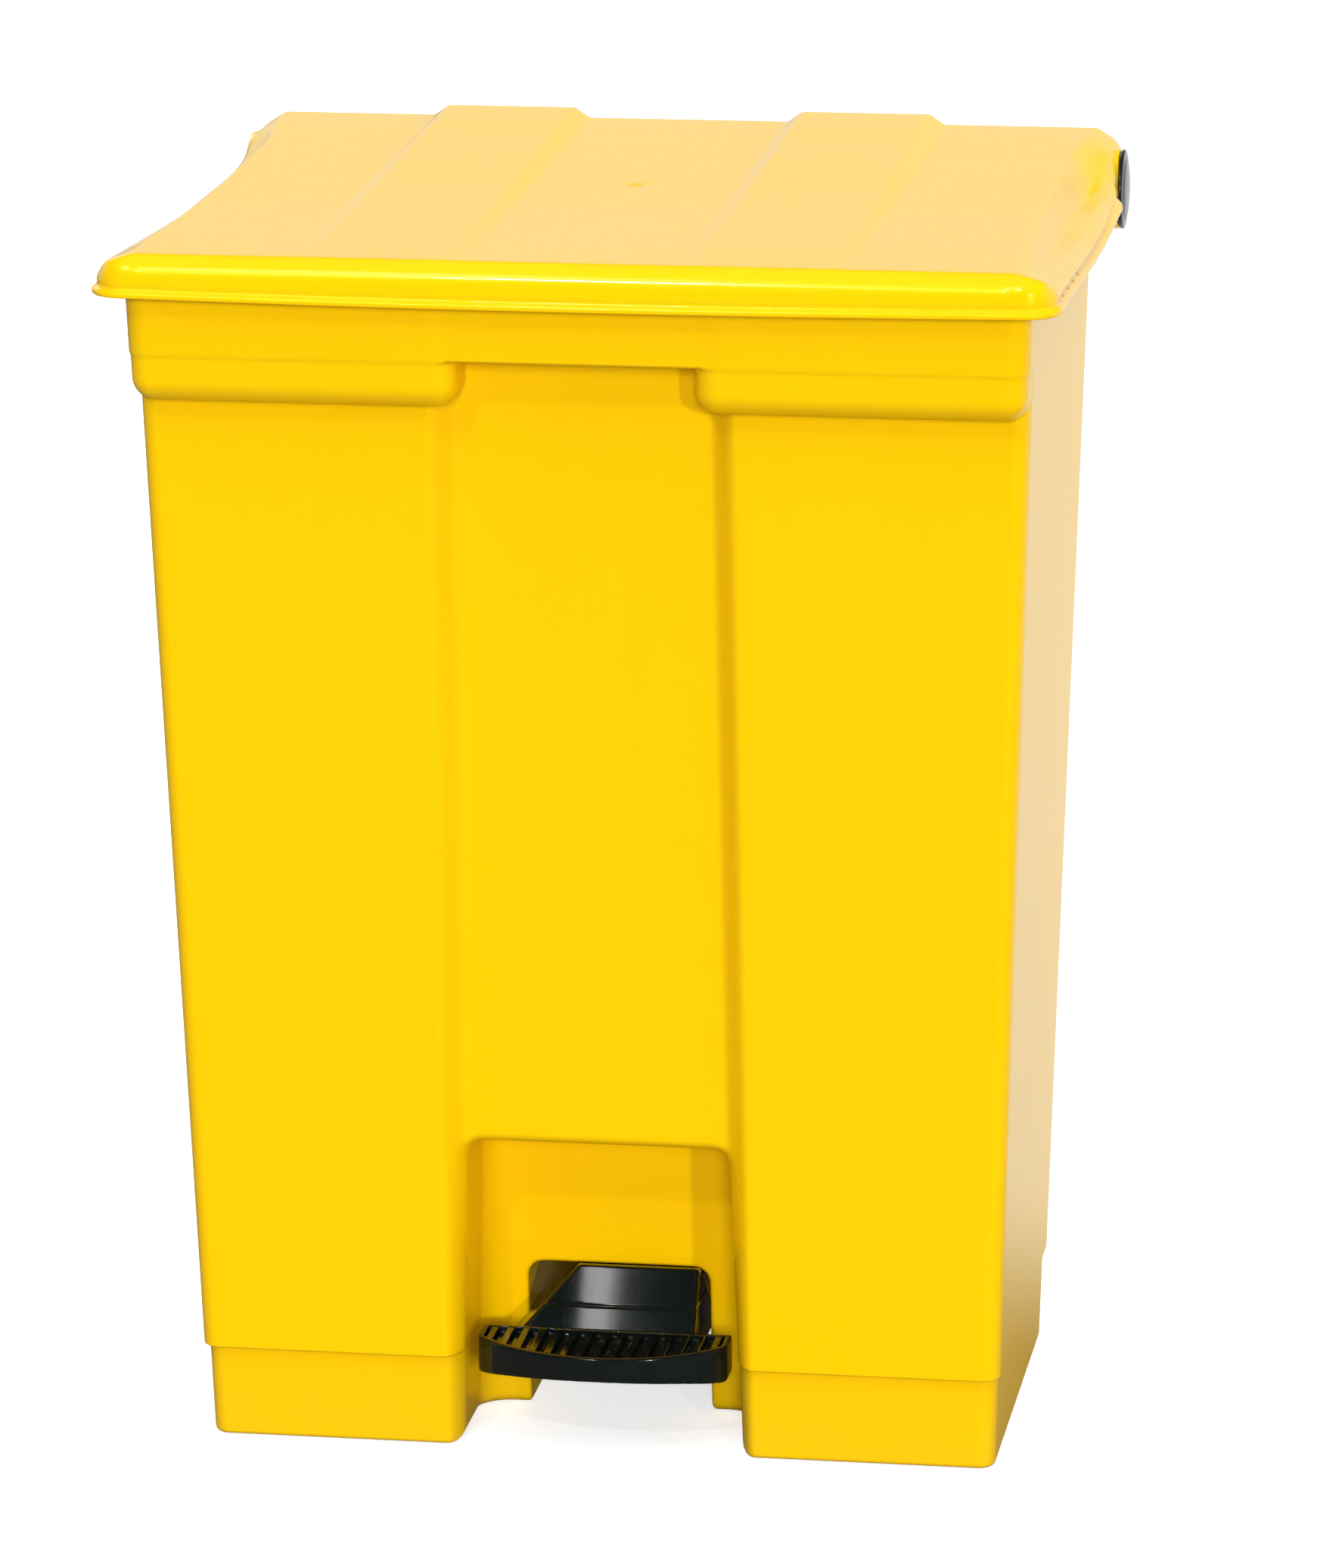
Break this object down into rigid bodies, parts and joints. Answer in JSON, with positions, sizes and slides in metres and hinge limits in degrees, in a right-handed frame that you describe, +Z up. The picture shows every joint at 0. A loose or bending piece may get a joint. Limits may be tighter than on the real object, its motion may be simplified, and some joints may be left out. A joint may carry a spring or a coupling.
{
  "type": "pedal bin",
  "caption": "Tapered step-on waste container with a forward collar, hand hold, sunk front panel, toe space, black pedal and a rear-hinged lid with raised ribs.",
  "frame": {"origin": "centre of the footprint of the whole object at floor level", "axes": "+X to the right as seen from the front, +Y to the rear, +Z up; the front with the pedal faces -Y"},
  "size_m": [0.502, 0.41, 0.673],
  "materials": {
    "yellow_plastic": "satin moulded",
    "yellow_lid_plastic": "satin moulded",
    "black_plastic": "glossy moulded",
    "dark_moulded": "matt moulded",
    "black_steel": "black painted",
    "black_rubber": "matt",
    "steel": "zinc plated",
    "zinc_screw": "zinc plated"
  },
  "bodies": {
    "container": {"bin_body": "yellow_plastic", "foot_pads": "black_rubber", "hinge_pin_left": "steel", "hinge_pin_right": "steel", "hinge_cap": "black_plastic", "rod_guide_upper": "dark_moulded", "rod_guide_lower": "dark_moulded", "rod_cover": "yellow_plastic", "rod_cover_screws": "zinc_screw", "pivot_bracket": "black_steel", "pivot_axle": "steel", "axle_clips": "black_steel", "pivot_bracket_screws": "black_steel", "pedal_stop": "black_rubber"},
    "lid_assembly": {"lid": "yellow_lid_plastic", "lid_bracket": "steel", "lid_bracket_pin": "steel", "lid_bracket_screws": "zinc_screw", "lid_bumpers": "black_rubber"},
    "pedal_lever": {"pedal": "black_plastic", "lever_arm": "black_steel", "lever_bush": "dark_moulded", "lever_pin": "steel", "lever_screws": "black_steel"},
    "lift_rod_assembly": {"lift_rod": "steel", "rod_head": "dark_moulded", "rod_foot": "dark_moulded"}
  },
  "joints": [
    {"name": "lid_hinge", "type": "hinge", "parent": "container", "child": "lid_assembly", "pos_m": [0, 0.177, 0.637], "axis": [-1, 0, 0], "range_deg": [0, 75]},
    {"name": "pedal_pivot", "type": "hinge", "parent": "container", "child": "pedal_lever", "pos_m": [0, 0.005, 0.056], "axis": [1, 0, 0], "range_deg": [0, 10.09]},
    {"name": "rod_slide", "type": "slide", "parent": "container", "child": "lift_rod_assembly", "axis": [0, 0, 1], "range_m": [0, 0.02679]}
  ],
  "couplings": [
    {"joint": "pedal_pivot", "follows": "lid_hinge", "ratio": 0.13453},
    {"joint": "rod_slide", "follows": "lid_hinge", "m_per_rad": 0.020463}
  ]
}
